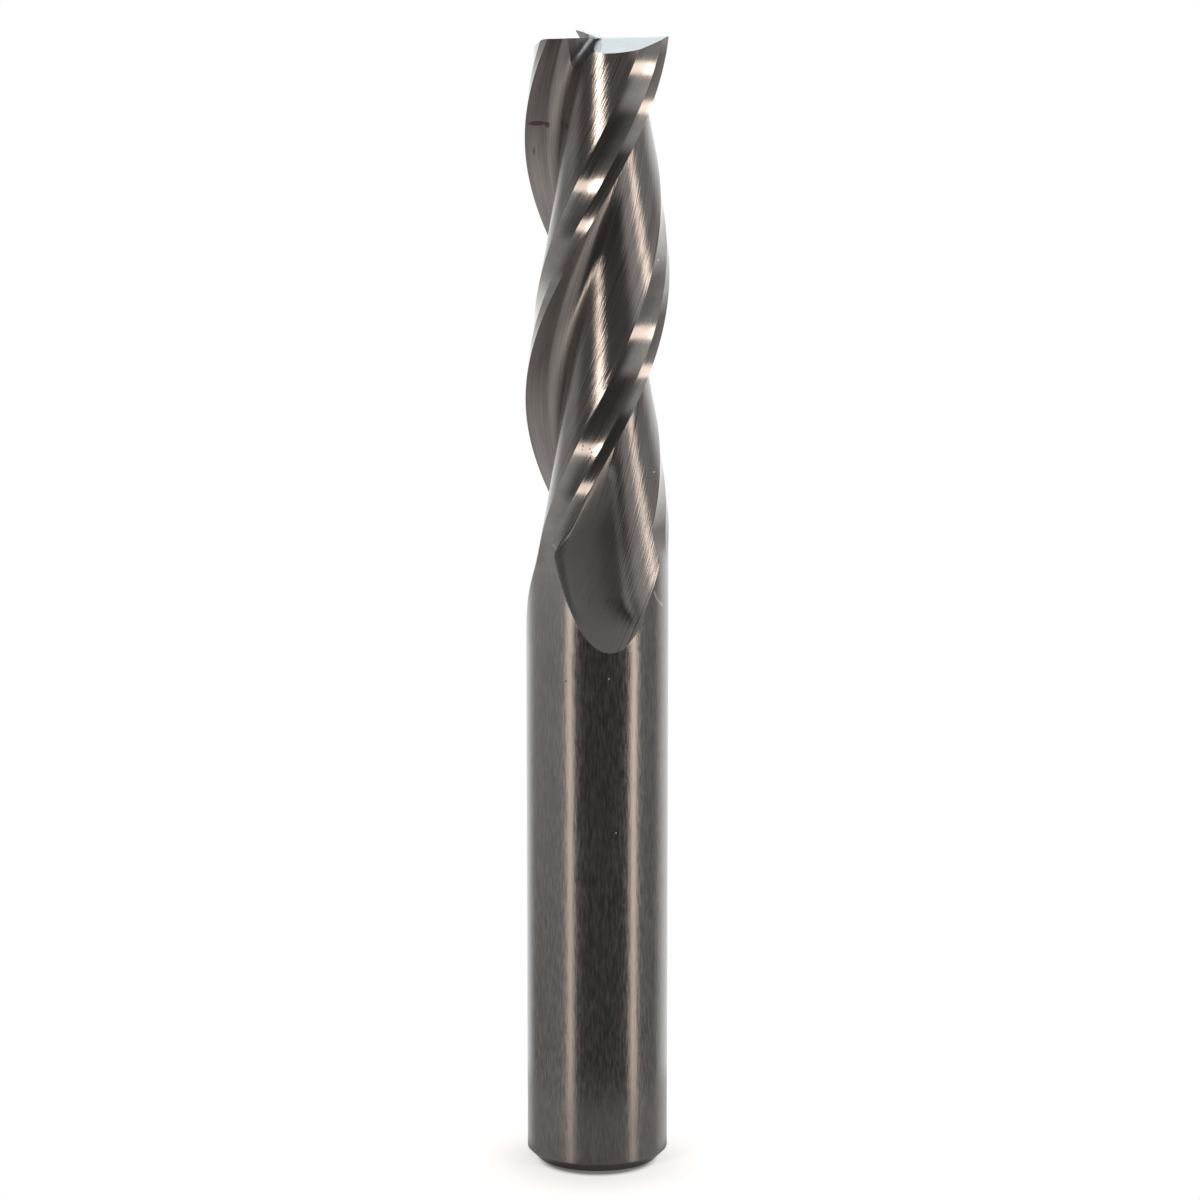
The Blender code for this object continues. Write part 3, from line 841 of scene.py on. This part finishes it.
def insideOf(tree, millimetres, middle, size, share, edge):
    # share inside an ellipsoid, falling to nothing near its surface: reach = |(place - middle) / size|
    offset = addNode(tree, "ShaderNodeVectorMath", {0: millimetres, 1: middle}, operation="SUBTRACT")
    offset = addNode(tree, "ShaderNodeVectorMath", {0: offset.outputs[0], 1: size}, operation="DIVIDE")
    reach = addNode(tree, "ShaderNodeVectorMath", {0: offset.outputs[0]}, operation="LENGTH").outputs["Value"]
    return rangeNode(tree, reach, *edge, share, 0.0)


def objectMillimetres(tree):
    # place on the tool in its own coordinates, in mm
    place = addNode(tree, "ShaderNodeTexCoord").outputs["Object"]
    return addNode(tree, "ShaderNodeVectorMath", {0: place, "Scale": 1000.0}, operation="SCALE").outputs[0]


def onInnerFlats(tree, millimetres, colour, normal):
    # a small oval flat at the inner end of each gash, which leans like the end of its tooth
    for tooth in range(bit["teeth"]):
        turn = math.radians(pitch * tooth)
        turned = {"Vector": millimetres, "Rotation": (0.0, 0.0, -turn)}
        here = addNode(tree, "ShaderNodeMapping", turned).outputs[0]
        share = insideOf(tree, here, finish["flatMiddle"], finish["flatSize"], 1.0, finish["flatEdge"])
        colour = mixColour(tree, share, colour, finish["flatColour"])
        x, y, z = finish["flatNormal"]
        cos, sin = math.cos(turn), math.sin(turn)
        aim = (x * cos - y * sin, x * sin + y * cos, z)
        inputs = {0: share, 4: normal, 5: aim}
        normal = addNode(tree, "ShaderNodeMix", inputs, data_type="VECTOR").outputs[1]
    return colour, normal


def dressChannel(tree, millimetres, scratches, colour, base):
    # past a line round the section the channel turns from shiny back to dull core and rake face. The line
    # lies closer to the cutting edge low in the run-out, and the metal past it is greyer there
    uv = addNode(tree, "ShaderNodeUVMap", uv_map="grind").outputs["UV"]
    across = addNode(tree, "ShaderNodeSeparateXYZ", {0: uv}).outputs["X"]
    height = addNode(tree, "ShaderNodeSeparateXYZ", {0: millimetres}).outputs["Z"]
    limits = finish["rakeLow"], finish["rakeHigh"], finish["rakeFromLow"], finish["rakeFrom"]
    past = mathNode(tree, "SUBTRACT", across, rangeNode(tree, height, *limits, smooth=False))
    past = rangeNode(tree, past, 0.0, finish["rakeBlend"], 0.0, 1.0)
    scratch = rangeNode(tree, scratches, *finish["scratchSpan"], 0.0, finish["scratchTone"])
    scratch = mathNode(tree, "MULTIPLY", scratch, rangeNode(tree, past, 0.0, 1.0, 1.0, 0.0))
    colour = mixColour(tree, scratch, colour, finish["scratchColour"])
    dull = rangeNode(tree, height, *finish["rakeDulls"], finish["rakeRoughnessLow"], finish["rakeRoughness"])
    base = rangeNode(tree, past, 0.0, 1.0, base, dull)
    runout = mathNode(tree, "MULTIPLY", past, rangeNode(tree, height, *finish["rakeGreys"], 1.0, 0.0))
    colour = mixColour(tree, runout, colour, finish["rakeColourLow"])
    strength = rangeNode(tree, past, 0.0, 1.0, 1.0, finish["rakeRelief"])
    return colour, base, strength


def dressGash(tree, millimetres, colour, base):
    # further from the axis the gash only dresses the rake face, and is as dull and as dark as that
    flat = addNode(tree, "ShaderNodeVectorMath", {0: millimetres, 1: (1, 1, 0)}, operation="MULTIPLY")
    away = addNode(tree, "ShaderNodeVectorMath", {0: flat.outputs[0]}, operation="LENGTH").outputs["Value"]
    outer = rangeNode(tree, away, finish["gashOuterFrom"], finish["gashOuterTo"], 0.0, 1.0)
    colour = mixColour(tree, outer, colour, finish["gashOuterColour"])
    base = rangeNode(tree, outer, 0.0, 1.0, base, finish["gashOuterRoughness"])
    return colour, base


def carbideShader(tree, zone):
    # metal whose colour, roughness and fine relief follow the grinding, with the marks of its zone
    look = finish[zone]
    millimetres = objectMillimetres(tree)
    lines, cloud, *scratches = grinding(tree, zone, millimetres)
    tone = rangeNode(tree, cloud, *finish["cloudSpan"], 0.0, 1.0)
    colour = mixColour(tree, tone, (*look["colour"], 1), (*look["cool"], 1))
    shade = rangeNode(tree, lines, *finish["lineSpan"], 1 - look["lineTone"], 1 + look["lineTone"] / 2)
    colour = addNode(tree, "ShaderNodeVectorMath", {0: colour, "Scale": shade}, operation="SCALE").outputs[0]
    spread = rangeNode(tree, lines, *finish["lineSpan"], -finish["roughSpread"], finish["roughSpread"])
    base, strength = look["roughness"], 1.0
    if zone == "channel":
        colour, base, strength = dressChannel(tree, millimetres, scratches[0], colour, base)
    if zone == "gash":
        colour, base = dressGash(tree, millimetres, colour, base)
    rough = mathNode(tree, "ADD", spread, base)
    metallic = 1.0
    for where, middle, size, paint, share, cover in marks:
        if where == zone:
            inside = insideOf(tree, millimetres, middle, size, share, finish["markEdge"])
            colour = mixColour(tree, inside, colour, (*paint, 1))
            if cover:
                metallic = mathNode(tree, "SUBTRACT", metallic, inside, clamp=True)
    relief = {"Height": lines, "Strength": strength, "Distance": look["lineDepth"] * 1e-6}
    normal = addNode(tree, "ShaderNodeBump", relief).outputs[0]
    if zone in ("end", "gash"):
        colour, normal = onInnerFlats(tree, millimetres, colour, normal)
    inputs = {"Base Color": colour, "Metallic": metallic, "Roughness": rough, "Normal": normal}
    return addNode(tree, "ShaderNodeBsdfPrincipled", inputs)


def groundCarbide(name, zone):
    # one zone's finish by itself
    material, tree = newMaterial(name)
    addNode(tree, "ShaderNodeOutputMaterial", {"Surface": carbideShader(tree, zone).outputs[0]})
    return material


def roundCarbide():
    # the shank's finish low down, the lands' finish higher up
    material, tree = newMaterial("groundRound")
    place = addNode(tree, "ShaderNodeTexCoord").outputs["Object"]
    height = addNode(tree, "ShaderNodeSeparateXYZ", {0: place}).outputs["Z"]
    share = rangeNode(tree, height, finish["landFrom"], finish["landTo"], 0.0, 1.0)
    low, high = carbideShader(tree, "shank"), carbideShader(tree, "land")
    mixed = addNode(tree, "ShaderNodeMixShader", {0: share, 1: low.outputs[0], 2: high.outputs[0]})
    addNode(tree, "ShaderNodeOutputMaterial", {"Surface": mixed.outputs[0]})
    return material


finishes = [
    roundCarbide(),
    groundCarbide("groundChannel", "channel"),
    groundCarbide("groundEndPaintedSheen", "end"),
    groundCarbide("groundGash", "gash"),
]
routerBit = makeBit(finishes)
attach(routerBit, "root")
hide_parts("router_bit")
print("router bit ground:", len(routerBit.data.polygons), "faces")
